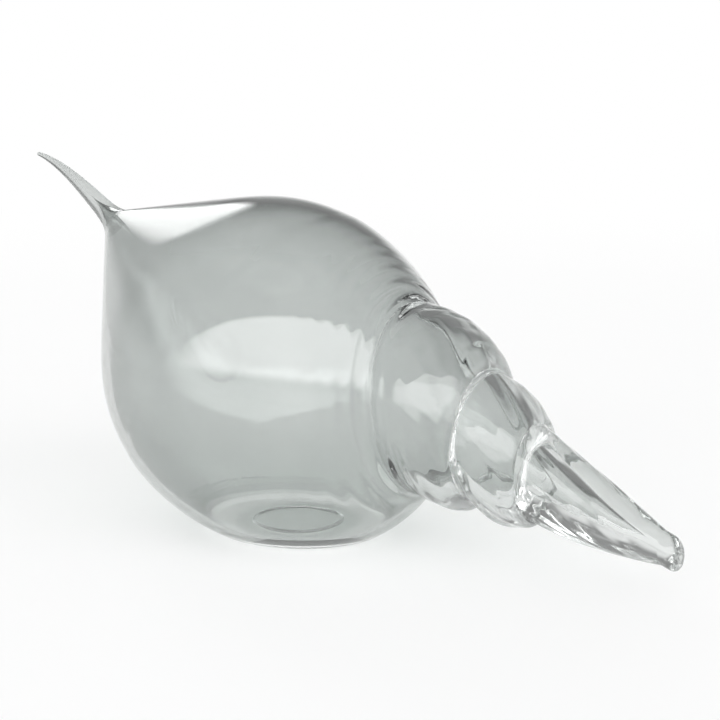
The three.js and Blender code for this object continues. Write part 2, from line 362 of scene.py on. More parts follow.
shoulder_bore_radius = SHOULDER_RADIUS - WHORL_WALL
crease_bore_radius = FIRST_CREASE_RADIUS - WHORL_WALL
shoulder_spine = (shoulder_ring, first_crease, SHOULDER_LIFT)
second_spine = (first_crease, second_crease, SECOND_LIFT)
shoulder_outside = whorl_rings(
    *shoulder_spine, SHOULDER_RADIUS, FIRST_CREASE_RADIUS, SHOULDER_SWELL, SHOULDER_STEPS
)
shoulder_bore = whorl_rings(*shoulder_spine, shoulder_bore_radius, crease_bore_radius, SHOULDER_SWELL)
second_outside = whorl_rings(*second_spine, FIRST_CREASE_RADIUS, SECOND_CREASE_RADIUS, SECOND_SWELL)
second_bore = whorl_rings(*second_spine, crease_bore_radius, CONE_BORE_RADIUS, SECOND_SWELL)


def pull_tube(name, outside, bore):
    tube = start_piece(name, outside[0], SPIRE_SIDES)
    pull_rings(outside + bore[::-1])
    close_piece(bridge=True)
    return tube


shoulder = pull_tube("shoulder_glass", shoulder_outside, shoulder_bore)
second = pull_tube("second_whorl_glass", second_outside, second_bore)
plug = start_piece("shoulder_plug", shoulder_outside[0], SPIRE_SIDES)
pull_rings(shoulder_outside)
bpy.ops.mesh.edge_face_add()
close_piece(bridge=False)
print_faces(shoulder, second, plug)

# %% [markdown]
# ## The cone and its nib
# The long cone is thick: its bore runs out to a point before the end. The nib is a solid button with a
# small dimple, where the spire was cracked off and melted round. Both are pulled like the whorls, and
# each needs only one cap, because its rings shrink to a point at the other end.

# %% Model the cone
CONE_STEPS = 48
CONE_SWELL = 0.0012
CONE_SAG = 0.001
CONE_TIP_SOLID = 0.0085


def cone_ring(along, radius):
    """The ring at a distance past the second crease, also past the nib's ring."""
    share = along / CONE_LENGTH
    if share <= 1:
        return ring_between(second_crease, nib_ring, -CONE_SAG, share, radius)
    past = along - CONE_LENGTH
    return next_ring(nib_ring, past, past * CONE_DROP / CONE_LENGTH, radius, NIB_LEAN)


cone_outside = []
cone_bore = []
for share in shares(CONE_STEPS):
    radius = mix(SECOND_CREASE_RADIUS, NIB_RADIUS, share) + 4 * CONE_SWELL * share * (1 - share)
    cone_outside.append(cone_ring(CONE_LENGTH * share, radius))
    cone_bore.append(cone_ring((CONE_LENGTH - CONE_TIP_SOLID) * share, CONE_BORE_RADIUS * (1 - share)))
cone = start_piece("cone_glass", cone_outside[-1], SPIRE_SIDES)
pull_rings(cone_outside[::-1] + cone_bore)
close_piece(bridge=False)
print_faces(cone)

# %% Model the nib
NIB_LENGTH = 0.0074
NIB_EDGE = 0.004  # rounding of its end
NIB_RIM = 0.0008  # from that rounding to the dimple
NIB_DIMPLE = 0.0008
NIB_EDGE_STEPS = 12
NIB_DIMPLE_STEPS = 8

nib_end = CONE_LENGTH + NIB_LENGTH
dimple_radius = NIB_RADIUS - NIB_EDGE - NIB_RIM
nib_outside = [nib_ring]
for share in shares(NIB_EDGE_STEPS):
    angle = pi / 2 * share
    radius = NIB_RADIUS - NIB_EDGE * (1 - cos(angle))
    nib_outside.append(cone_ring(nib_end - NIB_EDGE * (1 - sin(angle)), radius))
for share in shares(NIB_DIMPLE_STEPS):
    depth = NIB_DIMPLE * (1 - cos(pi / 2 * share))
    nib_outside.append(cone_ring(nib_end - depth, dimple_radius * (1 - share)))
nib = start_piece("nib_glass", nib_ring, SPIRE_SIDES)
pull_rings(nib_outside)
close_piece(bridge=False)
print_faces(nib)

# %% [markdown]
# ## The spike
# The spike was pulled from the end of the bulb's cone and bent over while it was soft. The hollow runs a
# little way into it, and then it is a solid thread. Its middle is a Bezier curve, and its rings stand
# square to that curve. The piece starts with the ring round the bore's mouth, and is pulled from there
# twice: out over the root to the tip, and along the bore to its point.

# %% The spike's path
SPIKE_REACH = 0.053
SPIKE_RISE = 0.033
SPIKE_TIP_CLIMB = radians(13)
SPIKE_ROOT_STRETCH = 0.016  # how far the directions of the root and the tip hold
SPIKE_TIP_STRETCH = 0.020
SPIKE_PATH_POINTS = 400
ROUNDING = 1e-9

spike_root = bulb_centre + CONE_END * head_direction
spike_tip = spike_root + Vector((-SPIKE_REACH, 0, SPIKE_RISE))
tip_direction = Vector((-cos(SPIKE_TIP_CLIMB), 0, sin(SPIKE_TIP_CLIMB)))
root_handle = spike_root + SPIKE_ROOT_STRETCH * head_direction
tip_handle = spike_tip - SPIKE_TIP_STRETCH * tip_direction
spike_path = interpolate_bezier(spike_root, root_handle, tip_handle, spike_tip, SPIKE_PATH_POINTS)
stations = [0]
for before, place in zip(spike_path, spike_path[1:]):
    stations.append(stations[-1] + (place - before).length)
spike_length = stations[-1]


def spike_ring(along, radius):
    """The ring square to the spike's path at a distance from its root."""
    i = next(k for k in range(1, len(stations)) if stations[k] >= along - ROUNDING)
    share = (along - stations[i - 1]) / (stations[i] - stations[i - 1])
    place = spike_path[i - 1].lerp(spike_path[i], share)
    way = spike_path[min(i + 1, len(spike_path) - 1)] - spike_path[max(i - 2, 0)]
    return Ring(place.x, place.z, radius, radius, atan2(way.z, -way.x))


print("spike length:", round(spike_length, 4))

# %% Model the spike
SPIKE_SIDES = 64
SPIKE_STEPS = 60
SPIKE_END_STEPS = 5
SPIKE_RADIUS = 0.0058
SPIKE_TIP_RADIUS = 0.0009
SPIKE_FLARE = 0.018
FLARE_POWER = 3.7  # gives the root the same slope as the cone
SPIKE_BORE_LENGTH = 0.022
SPIKE_BORE_STEPS = 36

spike_rings = []
for share in shares(SPIKE_STEPS):
    along = (spike_length - SPIKE_TIP_RADIUS) * share
    flare = (CONE_END_RADIUS - SPIKE_RADIUS) * max(0, 1 - along / SPIKE_FLARE) ** FLARE_POWER
    spike_rings.append(spike_ring(along, mix(SPIKE_RADIUS, SPIKE_TIP_RADIUS, along / spike_length) + flare))
end_radius = spike_rings[-1].up
for share in shares(SPIKE_END_STEPS)[1:]:
    angle = pi / 2 * share
    along = spike_length - SPIKE_TIP_RADIUS * (1 - sin(angle))
    spike_rings.append(spike_ring(along, end_radius * cos(angle)))
side_along, side_radius = hollow_outline[2]  # a point on the straight side of the bulb's hollow
hollow_slope = (side_radius - HOLLOW_END_RADIUS) / (HOLLOW_END - side_along)
root_bore = HOLLOW_END_RADIUS + hollow_slope * (HOLLOW_END - CONE_END)
bore_rings = [spike_ring(SPIKE_BORE_LENGTH * share, root_bore * (1 - share) ** 2)
              for share in shares(SPIKE_BORE_STEPS)]


def pull_both_ways(name, outside, inside, sides):
    """A piece pulled from one ring, the first of both lists, along its outside and its inside."""
    piece = start_piece(name, outside[0], sides)
    pull_rings(outside)
    merge_doubles()
    select_open_edges()
    pull_rings(inside)
    merge_doubles()
    leave_piece()
    return piece


spike = pull_both_ways("spike_glass", bore_rings[:1] + spike_rings, bore_rings, SPIKE_SIDES)
print_faces(spike)

# %% [markdown]
# ## Flutes and a ridge on the spire
# The spire was twisted while it was soft, so soft flutes start on the shoulder and wind round the second
# whorl and the cone, and a fold of glass runs from the first crease down under the second whorl. They
# could be drawn by hand with a sculpting brush. A formula is used here, because it moves two neighbours
# alike where they meet at a crease, so that their joint stays closed. Each vertex of the outside moves
# out from the spine by an amount that depends on where it is along the spire and round it.

# %% Height of the flutes and the ridge
FLUTES = 7
FINE_FLUTES = 18
FLUTE_SHARE = 0.018  # height of a flute over the radius
FINE_FLUTE_SHARE = 0.010
PLAIN_SHOULDER = 0.022  # length of the shoulder that has no flutes
FLUTE_START = shoulder_ring.x + PLAIN_SHOULDER
FLUTE_FADE = 0.6  # share of the cone past which the flutes die away
CREASE_CALM = 0.003  # reach on either side of a crease where the flutes are low
CREASE_LOSS = 0.7  # share of their height that they lose there
TWIST = radians(1.2) / MILLIMETRE  # turn along the spire
RIDGE_HEIGHT = 0.0020
RIDGE_WIDTH = 0.0036
RIDGE_START = radians(70)  # angles are from the top, round the front
RIDGE_RISE = radians(30)
RIDGE_CROSSING = radians(92)  # where the ridge lies on the first crease
RIDGE_FALL = radians(50)
RIDGE_END = radians(215)
RIDGE_PITCH = 0.018 / radians(90)  # way along the spire in a quarter turn


def smooth_step(low, high, value):
    share = min(max((value - low) / (high - low), 0), 1)
    return share * share * (3 - 2 * share)


def flute_height(x, angle, radius):
    fade = smooth_step(FLUTE_START, first_crease.x, x)
    fade *= 1 - smooth_step(mix(second_crease.x, nib_ring.x, FLUTE_FADE), nib_ring.x, x)
    for crease in (first_crease, second_crease):
        fade *= 1 - CREASE_LOSS * exp(-((x - crease.x) / CREASE_CALM) ** 2)
    turned = angle - TWIST * (x - first_crease.x)
    wave = FLUTE_SHARE * (0.5 + 0.5 * cos(FLUTES * turned)) ** 2
    wave += FINE_FLUTE_SHARE * (0.5 + 0.5 * cos(FINE_FLUTES * turned))
    return radius * fade * wave


def ridge_height(x, angle):
    middle = first_crease.x + RIDGE_PITCH * (angle - RIDGE_CROSSING)
    ridge = exp(-((x - middle) / RIDGE_WIDTH) ** 2)
    ridge *= smooth_step(RIDGE_START, RIDGE_START + RIDGE_RISE, angle)
    ridge *= 1 - smooth_step(RIDGE_END - RIDGE_FALL, RIDGE_END, angle)
    return RIDGE_HEIGHT * ridge


# %% Raise the outside of the spire
OUTSIDE_SHARE = 0.87  # a vertex farther out than this share of the radius is on the outside


def spire_section(x):
    """Height of the spine and radius of the outside at a place along the spire."""
    for rings in (shoulder_outside, second_outside, cone_outside):
        for before, ring in zip(rings, rings[1:]):
            if x <= ring.x:
                share = (x - before.x) / (ring.x - before.x)
                return mix(before.z, ring.z, share), mix(before.up, ring.up, share)
    return nib_ring.z, nib_ring.up


def raise_outside(piece):
    moved = 0
    for vertex in piece.data.vertices:
        x = vertex.co.x
        spine, radius = spire_section(x)
        out = Vector((0, vertex.co.y, vertex.co.z - spine))
        if out.length > OUTSIDE_SHARE * radius and FLUTE_START < x < nib_ring.x - MERGE_DISTANCE:
            angle = atan2(-out.y, out.z) % (2 * pi)
            vertex.co += (flute_height(x, angle, radius) + ridge_height(x, angle)) * out.normalized()
            moved += 1
    print(piece.name, moved, "vertices moved")


for piece in (shoulder, second, cone):
    raise_outside(piece)

# %% [markdown]
# ## Joints that don't show
# The real pieces were joined hot, so the glass runs on from one to the next with no surface between them.
# Here each piece is a closed mesh of its own. Its joint faces get a second material slot, which will be
# fully clear, so light passes from piece to piece as it does in the fused glass. Slot 0 is the glass, and
# slot 1 the joint.

# %% Material slots and a way to mark the joint faces
JOINT_SLOT = 1
FINISHES = ("thin_blown_glass", "thick_drawn_glass", "pressed_base_glass", "pulled_spike_glass")
ON_PLANE = 1e-5  # how near a joint's plane the middle of its faces lies
FACING_PLANE = 0.999  # cosine between such a face and the plane

glass_finish = {name: bpy.data.materials.new(name) for name in FINISHES}
fused_joint = bpy.data.materials.new("fused_joint")


def give_slots(piece, finish):
    piece.data.materials.append(glass_finish[finish])
    piece.data.materials.append(fused_joint)


def mark_joint(piece, test):
    """Puts the faces that pass the test of centre and normal in the joint's slot."""
    marked = [face for face in piece.data.polygons if test(face.center, face.normal)]
    for face in marked:
        face.material_index = JOINT_SLOT
    print(piece.name, "has", len(marked), "joint faces")


def on_ring(ring):
    """A test for the flat faces in the plane of a ring."""
    axis = Vector((cos(ring.lean), 0, -sin(ring.lean)))
    middle = Vector((ring.x, 0, ring.z))

    def in_plane(centre, normal):
        return abs((centre - middle).dot(axis)) < ON_PLANE and abs(normal.dot(axis)) > FACING_PLANE

    return in_plane


# %% Give the slots and mark the flat joints
for piece in (bulb, hollow, plug, shoulder, second):
    give_slots(piece, "thin_blown_glass")
for piece in (cone, nib):
    give_slots(piece, "thick_drawn_glass")
give_slots(spike, "pulled_spike_glass")
mark_joint(second, on_ring(first_crease))
mark_joint(second, on_ring(second_crease))
mark_joint(shoulder, on_ring(first_crease))
mark_joint(cone, on_ring(second_crease))
mark_joint(cone, on_ring(nib_ring))
mark_joint(nib, on_ring(nib_ring))
mark_joint(spike, on_ring(spike_rings[0]))
mark_joint(bulb, on_ring(Ring(spike_root.x, spike_root.z, CONE_END_RADIUS, CONE_END_RADIUS, BULB_FALL)))
mark_joint(plug, lambda centre, normal: True)

# %% [markdown]
# ## Cutting the pieces to each other
# Boolean modifiers cut the hollow and the opening for the shoulder whorl out of the bulb, and trim the
# whorl to the bulb's inner surface. New faces take the cutter's slot, so the opening's sides are marked
# as a joint at once. A copy of the whole bulb is kept for the next step.


# %% Cut with Boolean modifiers
def pick(piece):
    """Makes a piece the only one that is selected, and the active one."""
    bpy.ops.object.select_all(action="DESELECT")
    piece.select_set(True)
    bpy.context.view_layer.objects.active = piece


def cut_away(piece, cutter):
    pick(piece)
    boolean = piece.modifiers.new("cut", "BOOLEAN")
    boolean.operation = "DIFFERENCE"
    boolean.solver = "EXACT"
    boolean.object = cutter
    bpy.ops.object.modifier_apply(modifier=boolean.name)


bulb_skin = bulb.copy()
bulb_skin.data = bulb.data.copy()
bpy.context.collection.objects.link(bulb_skin)
cut_away(shoulder, hollow)
cut_away(bulb, hollow)
cut_away(bulb, plug)
print_faces(bulb, shoulder)

# %% [markdown]
# ## The whorl's seat in the wall
# The part of the whorl that sits in the bulb's wall is a joint too, and it ends where the bulb's outer
# surface crosses the whorl. No edge runs there yet. The kept copy of the bulb is joined to the whorl
# under a slot of its own, Intersect cuts the whorl's faces along the crossing, and the copy is deleted
# again.

# %% Cut the whorl's faces where the bulb's surface crosses them
CUTTER_SLOT = 2


def select_slot(piece, slot):
    """Selects, in edit mode, the faces of one material slot."""
    piece.active_material_index = slot
    bpy.ops.mesh.select_all(action="DESELECT")
    bpy.ops.object.material_slot_select()


cutter_mark = bpy.data.materials.new("cutter_mark")
for piece in (bulb_skin, shoulder):
    piece.data.materials.append(cutter_mark)
for face in bulb_skin.data.polygons:
    face.material_index = CUTTER_SLOT
pick(shoulder)
bulb_skin.select_set(True)
bpy.ops.object.join()
bpy.ops.object.mode_set(mode="EDIT")
bpy.ops.mesh.select_mode(type="FACE")
select_slot(shoulder, CUTTER_SLOT)
bpy.ops.mesh.intersect(mode="SELECT_UNSELECT", separate_mode="CUT", solver="EXACT")
select_slot(shoulder, CUTTER_SLOT)
bpy.ops.mesh.delete(type="FACE")
bpy.ops.object.mode_set(mode="OBJECT")
shoulder.data.materials.pop(index=CUTTER_SLOT)
bpy.data.materials.remove(cutter_mark)
print_faces(shoulder)

# %% Mark the seat
OUTWARD = 0.3  # least cosine between a face of the outside and the way out from the spine


def out_of_bulb(place):
    """Distance of a place from the bulb's outer surface, near the whorl, and less than 0 inside."""
    offset = place - bulb_centre
    along = offset.dot(head_direction)
    out = (offset - along * head_direction).length
    return (hypot(along / BULB_TAIL, out / BULB_RADIUS) - 1) * BULB_RADIUS


def shoulder_middle(x):
    """The ring of radius 1 on the shoulder whorl's spine."""
    share = (x - shoulder_ring.x) / SHOULDER_LENGTH
    return ring_between(*shoulder_spine, share, 1)


def in_seat(centre, normal):
    """True for the whorl's outer faces that lie inside the bulb's outer surface."""
    out = Vector((0, centre.y, centre.z - shoulder_middle(centre.x).z))
    return out_of_bulb(centre) < 0 and normal.dot(out.normalized()) > OUTWARD


mark_joint(shoulder, in_seat)

# %% [markdown]
# ## Ripples round the joint
# Where the hot whorl was set on, the bulb's wall puckered in rings that die away from the joint, and the
# whorl's own skin folded in the same way. A bump in the material would leave the outline and the bending
# of the light as they were, so the shape itself is rippled. The vertices move out by a wave that starts
# at the joint: the bulb's along their normals, and the whorl's away from its spine.

# %% Ripple the wall round the opening
RIPPLE_LENGTH = 0.0075
RIPPLE_FADE = 0.010
RIPPLE_HEIGHT = 0.0013
RIPPLE_LOW = 0.018  # heights between which the ripples rise from nothing to full
RIPPLE_FULL = 0.042
RIPPLE_REACH = 0.02  # how far they run on past the whorl's first ring


def ripple(away, length, fade):
    """A wave between 0 and 1 that starts at nothing and dies away."""
    return (0.5 - 0.5 * cos(2 * pi * away / length)) * exp(-away / fade)


def from_opening(place):
    """Distance from the whorl's outside, at the height of a place beside the opening."""
    middle = shoulder_middle(place.x)
    radius = spire_section(place.x)[1]
    return hypot(place.y / middle.across, place.z - middle.z) - radius


normals = [vertex.normal.copy() for vertex in bulb.data.vertices]
rippled = 0
for vertex, normal in zip(bulb.data.vertices, normals):
    if vertex.co.x > shoulder_ring.x - RIPPLE_REACH:
        away = from_opening(vertex.co)
        if away > 0:
            height = RIPPLE_HEIGHT * smooth_step(RIPPLE_LOW, RIPPLE_FULL, vertex.co.z)
            vertex.co += height * ripple(away, RIPPLE_LENGTH, RIPPLE_FADE) * normal
            rippled += 1
print(rippled, "vertices of the bulb rippled")

# %% Fold the whorl beyond the joint
FOLD_LENGTH = 0.0062
FOLD_FADE = 0.0085
FOLD_HEIGHT = 0.0007

folded = 0
for vertex in shoulder.data.vertices:
    spine, radius = spire_section(vertex.co.x)
    out = Vector((0, vertex.co.y, vertex.co.z - spine))
    away = out_of_bulb(vertex.co)
    if out.length > OUTSIDE_SHARE * radius and away > 0:
        vertex.co += FOLD_HEIGHT * ripple(away, FOLD_LENGTH, FOLD_FADE) * out.normalized()
        folded += 1
print(folded, "vertices of the whorl folded")

# %% [markdown]
# ## The level cut
# The bulb ends where the base pad begins, at one level all round. A bisect cuts it there and clears what
# is below. That leaves the wall open between two edges, and bridging them closes it with the faces of the
# joint.

# %% Cut the bulb level and remove the cutters
CUT_SNAP = 1e-7

pick(bulb)
bpy.ops.object.mode_set(mode="EDIT")
bpy.ops.mesh.select_all(action="SELECT")
bpy.ops.mesh.bisect(plane_co=(0, 0, PAD_HEIGHT), plane_no=(0, 0, 1), clear_inner=True, threshold=CUT_SNAP)
select_open_edges()
bpy.ops.mesh.bridge_edge_loops()
bpy.ops.object.mode_set(mode="OBJECT")
pad_inner = level_ring(BULB_WALL, PAD_HEIGHT)
mark_joint(bulb, on_ring(pad_inner))
for cutter in (hollow, plug):
    bpy.data.objects.remove(cutter)

# %% [markdown]
# ## The base pad
# The hot bulb was pressed flat to stand. A rod held it from below while the spire was worked: it pushed
# the middle of the floor up a little, and the place where it was broken off was polished to a shallow
# dish. Level cuts through an egg are ellipses, so the pad is pulled from level rings: out over its joint
# with the bulb, down its side, in under the foot and up into the dish. Its top is pulled from the first
# ring: down the bulb's inner surface to the floor and up over the pushed middle.

# %% Ways to run from ring to ring
CORNER_STEPS = 8
CORNER_REACH = 0.965  # share of a ring that is left inside its rounded corner


def level_circle(x, height, radius):
    return Ring(x, height, radius, radius, LEVEL)


def even_rings(start, end, steps):
    """Rings that change evenly from the start, which is left out, to the end."""
    return [Ring(*(mix(a, b, share) for a, b in zip(start, end))) for share in shares(steps)[1:]]


def step_rings(x, radius, width, height, rise, steps):
    """Circles that climb a soft step as they shrink by its width."""
    return [level_circle(x, height + rise * smooth_step(0, 1, share), radius - width * share)
            for share in shares(steps)]


def rounded_corner(side, corner):
    """Rings that turn from a side, past the place of a sharp corner, to the level."""
    rings = []
    for share in shares(CORNER_STEPS)[1:]:
        height = mix(corner.z, side.z, (1 - share) ** 2)
        inside = mix(1, CORNER_REACH, share)
        up = mix(mix(side.up, corner.up, share), corner.up * inside, share)
        across = mix(mix(side.across, corner.across, share), corner.across * inside, share)
        rings.append(Ring(mix(side.x, corner.x, share), height, up, across, LEVEL))
    return rings


# %% Rings of the pad's side, foot and dish
FOOT_RIM = 0.0009
PONTIL_RADIUS = 0.021
PONTIL_DEPTH = 0.0004
PONTIL_EDGE = 0.0004
PAD_SIDE_STEPS = 8
FOOT_STEPS = 8
PONTIL_EDGE_STEPS = 10
PONTIL_STEPS = 6

pad_rings = [pad_inner]
pad_rings += [level_ring(0, mix(PAD_HEIGHT, FOOT_RIM, share)) for share in shares(PAD_SIDE_STEPS)]
pad_rings += rounded_corner(pad_rings[-1], level_ring(0, 0))
foot = pad_rings[-1]
pad_rings += even_rings(foot, level_circle(foot.x, 0, PONTIL_RADIUS), FOOT_STEPS)
pad_rings += step_rings(foot.x, PONTIL_RADIUS, PONTIL_EDGE, 0, PONTIL_DEPTH, PONTIL_EDGE_STEPS)[1:]
pad_rings += even_rings(pad_rings[-1], level_circle(foot.x, PONTIL_DEPTH, 0), PONTIL_STEPS)
print("foot", round(2 * foot.up, 4), "by", round(2 * foot.across, 4))

# %% Rings of the pad's top
FLOOR_HEIGHT = 0.0026
FLOOR_ROUND = 0.0010
FLOOR_WALL = 0.0022
PUSH_HEIGHT = 0.0008  # the rod pushed the middle of the floor up by this much
PUSH_WIDTH = 0.0032
BOWL_STEPS = 12
PUSH_STEPS = 12
PUSHED_STEPS = 5

bowl_rings = [pad_inner]
for share in shares(BOWL_STEPS)[1:]:
    wall = mix(BULB_WALL, FLOOR_WALL, share)
    bowl_rings.append(level_ring(wall, mix(PAD_HEIGHT, FLOOR_HEIGHT + FLOOR_ROUND, share)))
bowl_rings += rounded_corner(bowl_rings[-1], level_ring(FLOOR_WALL, FLOOR_HEIGHT))
floor_x = bowl_rings[-1].x
push_radius = PONTIL_RADIUS + PUSH_WIDTH / 2
bowl_rings += step_rings(floor_x, push_radius, PUSH_WIDTH, FLOOR_HEIGHT, PUSH_HEIGHT, PUSH_STEPS)
pushed_middle = level_circle(floor_x, FLOOR_HEIGHT + PUSH_HEIGHT, 0)
bowl_rings += even_rings(bowl_rings[-1], pushed_middle, PUSHED_STEPS)
print("the pad's top has", len(bowl_rings), "rings")

# %% Model the base pad
PAD_SIDES = 144

pad = pull_both_ways("base_glass", pad_rings, bowl_rings, PAD_SIDES)
give_slots(pad, "pressed_base_glass")
mark_joint(pad, on_ring(pad_inner))

# %% [markdown]
# ## Smooth faces
# Fire-polished glass has no facets. Shading by angle keeps the edges of the joints crisp and smooths the
# rest.

# %% Shade the pieces
SMOOTH_ANGLE = radians(35)

glass_pieces = {
    "body_bulb": bulb,
    "base_pad": pad,
    "siphon_spike": spike,
    "shoulder_whorl": shoulder,
    "second_whorl": second,
    "spire_cone": cone,
    "tip_nib": nib,
}
for piece in glass_pieces.values():
    pick(piece)
    bpy.ops.object.shade_smooth_by_angle(angle=SMOOTH_ANGLE)
print_faces(*glass_pieces.values())

# %% [markdown]
# ## Writing shader maths in Python
# A material is a graph of nodes. A small class wraps a socket that carries a number, so that `1 - streaks
# * 0.2` adds the Math nodes by itself. Every other node comes from one method, which sets a node's
# settings and then its inputs. A few more methods cover what the glass, the floor and the world have in
# common.


# %% Numbers that change over a surface
class Number:
    """A socket that carries a number, with the operators of a number."""

    def __init__(self, graph, socket):
        self.graph = graph
        self.socket = socket

    def maths(self, operation, first, second):
        return self.graph.number("ShaderNodeMath", 0, {"operation": operation}, {0: first, 1: second})

    def __add__(self, other):
        return self.maths("ADD", self, other)

    def __sub__(self, other):
        return self.maths("SUBTRACT", self, other)

    def __rsub__(self, other):
        return self.maths("SUBTRACT", other, self)

    def __mul__(self, other):
        return self.maths("MULTIPLY", self, other)

    __radd__ = __add__
    __rmul__ = __mul__


# %% Node graphs
class Graph:
    """The node graph of a material or of the world."""

    def __init__(self, owner):
        owner.use_nodes = True
        self.tree = owner.node_tree
        self.tree.nodes.clear()

    def node(self, kind, settings=None, inputs=None):
        made = self.tree.nodes.new(kind)
        for name, value in (settings or {}).items():
            setattr(made, name, value)
        for name, value in (inputs or {}).items():
            if isinstance(value, Number):
                value = value.socket
            if isinstance(value, bpy.types.NodeSocket):
                self.tree.links.new(value, made.inputs[name])
            else:
                made.inputs[name].default_value = value
        return made

    def number(self, kind, output, settings=None, inputs=None):
        return Number(self, self.node(kind, settings, inputs).outputs[output])

    def soft_edge(self, value, start, full):
        """A number that rises smoothly from 0 to 1 while the value goes from start to full."""
        inputs = {"Value": value, "From Min": start, "From Max": full}
        return self.number("ShaderNodeMapRange", "Result", {"interpolation_type": "SMOOTHSTEP"}, inputs)

    def length(self, vector):
        return self.number("ShaderNodeVectorMath", "Value", {"operation": "LENGTH"}, {0: vector})

    def along(self, vector, direction):
        inputs = {0: vector, 1: direction}
        return self.number("ShaderNodeVectorMath", "Value", {"operation": "DOT_PRODUCT"}, inputs)

    def mix_colours(self, share, first, second):
        inputs = {0: share, 6: first, 7: second}  # the sockets of a mix of colours
        return self.node("ShaderNodeMix", {"data_type": "RGBA"}, inputs).outputs[2]

    def mix_shaders(self, share, first, second):
        return self.node("ShaderNodeMixShader", None, {0: share, 1: first.outputs[0], 2: second.outputs[0]})

    def looking_rays(self):
        """Which rays look for a background: those of the camera, and those that glass and gloss send on."""
        path = self.node("ShaderNodeLightPath")
        by_camera = Number(self, path.outputs["Is Camera Ray"])
        glossy = path.outputs["Is Glossy Ray"]
        by_glass = by_camera.maths("MAXIMUM", glossy, path.outputs["Is Transmission Ray"])
        return by_camera, by_glass


# %% [markdown]
# ## Glass
# Blown glass is clear with a faint grey-green cast, and never quite even: cords of slightly different
# glass are drawn out along it, and its skin keeps soft waves from the tools. The glass is a Principled
# shader that lets everything through. Noise that is closer across the cords than along them changes its
# colour and, very slightly, its normal and its roughness. Near the rim a wall is seen edge-on, through
# more glass, so a Layer Weight node deepens the tint there.

# %% Tint of the cords and the rim
EDGE_TINT = (0.20, 0.22, 0.21, 1)
EDGE_BLEND = 0.5


def glass_tint(graph, cords, deep, pale):
    tint = graph.mix_colours(cords, deep, pale)
    edge_on = graph.number("ShaderNodeLayerWeight", "Facing", None, {"Blend": EDGE_BLEND})
    return graph.mix_colours(edge_on * edge_on, tint, EDGE_TINT)


# %% [markdown]
# ## The base's painted bright ring
# Round its pushed-up middle the base is thin. The tint of its lowest few millimetres is painted clearer,
# and fully clear in a ring at a distance from the middle: a painted highlight, which shows as a bright
# ring through the bulb. It could be a mask on faces, but distance and height need no seam in the mesh.

# %% Tint of the base, with a painted highlight ring
# Painted highlight: the base's lowest glass is painted clearer than its tint, and fully clear in a ring
WHITE = (1, 1, 1, 1)
PAINTED_MIDDLE_TINT = (0.86, 0.88, 0.87, 1)
# distances and heights of the painted highlight ring
RING_START = 0.0260  # distances from the pad's middle between which the glass clears
RING_FULL = 0.0320
RING_TOP = 0.0034  # heights between which the clear ring ends
RING_END = 0.0042


# Paints the base's lowest glass clearer, and fully clear in a ring round the middle: a painted highlight
def tint_with_painted_ring(graph, place, tint):
    height = graph.number("ShaderNodeSeparateXYZ", "Z", None, {0: place})
    from_middle = graph.node("ShaderNodeVectorMath", {"operation": "MULTIPLY_ADD"},
                             {0: place, 1: (1, 1, 0), 2: (-foot.x, 0, 0)})
    painted_ring_share = graph.soft_edge(graph.length(from_middle.outputs[0]), RING_START, RING_FULL)
    painted_clear_tint = graph.mix_colours(painted_ring_share, PAINTED_MIDDLE_TINT, WHITE)
    return graph.mix_colours(graph.soft_edge(height, RING_END, RING_TOP), tint, painted_clear_tint)


# %% [markdown]
# ## Four finishes and the joint
# The bulb and the whorls are thin, the cone and nib are drawn from thicker glass, and the base and the
# spike are the deepest in colour. Cycles finds no straight way for light through glass that bends it, so
# the shadow would be nearly black. A Transparent shader stands in for the glass on shadow rays, and gives
# the soft shadow its tone. The joint is nothing but that shader, fully clear.

# %% Make the glasses and the clear joint
GLASS_BENDING = 1.5
SHADOW_TINT = (0.86, 0.87, 0.865, 1)
CORD_DETAIL = 2
WAVE_SCALE = 28
WAVE_DETAIL = 1
CORD_BUMP = 0.35  # height of the cords beside the waves
BUMP_STRENGTH = 0.05
POLISH = 0.002  # least roughness
CORD_ROUGHNESS = 0.004

# For each finish, the tints of the deepest and the palest cords, and how close they lie along X, Y and Z
GLASSES = {
    "thin_blown_glass": ((0.66, 0.685, 0.675, 1), (0.80, 0.82, 0.81, 1), (14, 40, 14)),
    "pressed_base_glass": ((0.56, 0.585, 0.575, 1), (0.70, 0.72, 0.71, 1), (14, 40, 14)),
    "thick_drawn_glass": ((0.68, 0.70, 0.69, 1), (0.82, 0.84, 0.83, 1), (12, 60, 60)),
    "pulled_spike_glass": ((0.50, 0.52, 0.51, 1), (0.68, 0.70, 0.69, 1), (40, 90, 40)),
}


def noise(graph, vector, scale, detail):
    inputs = {"Vector": vector, "Scale": scale, "Detail": detail}
    return graph.number("ShaderNodeTexNoise", "Fac", None, inputs)


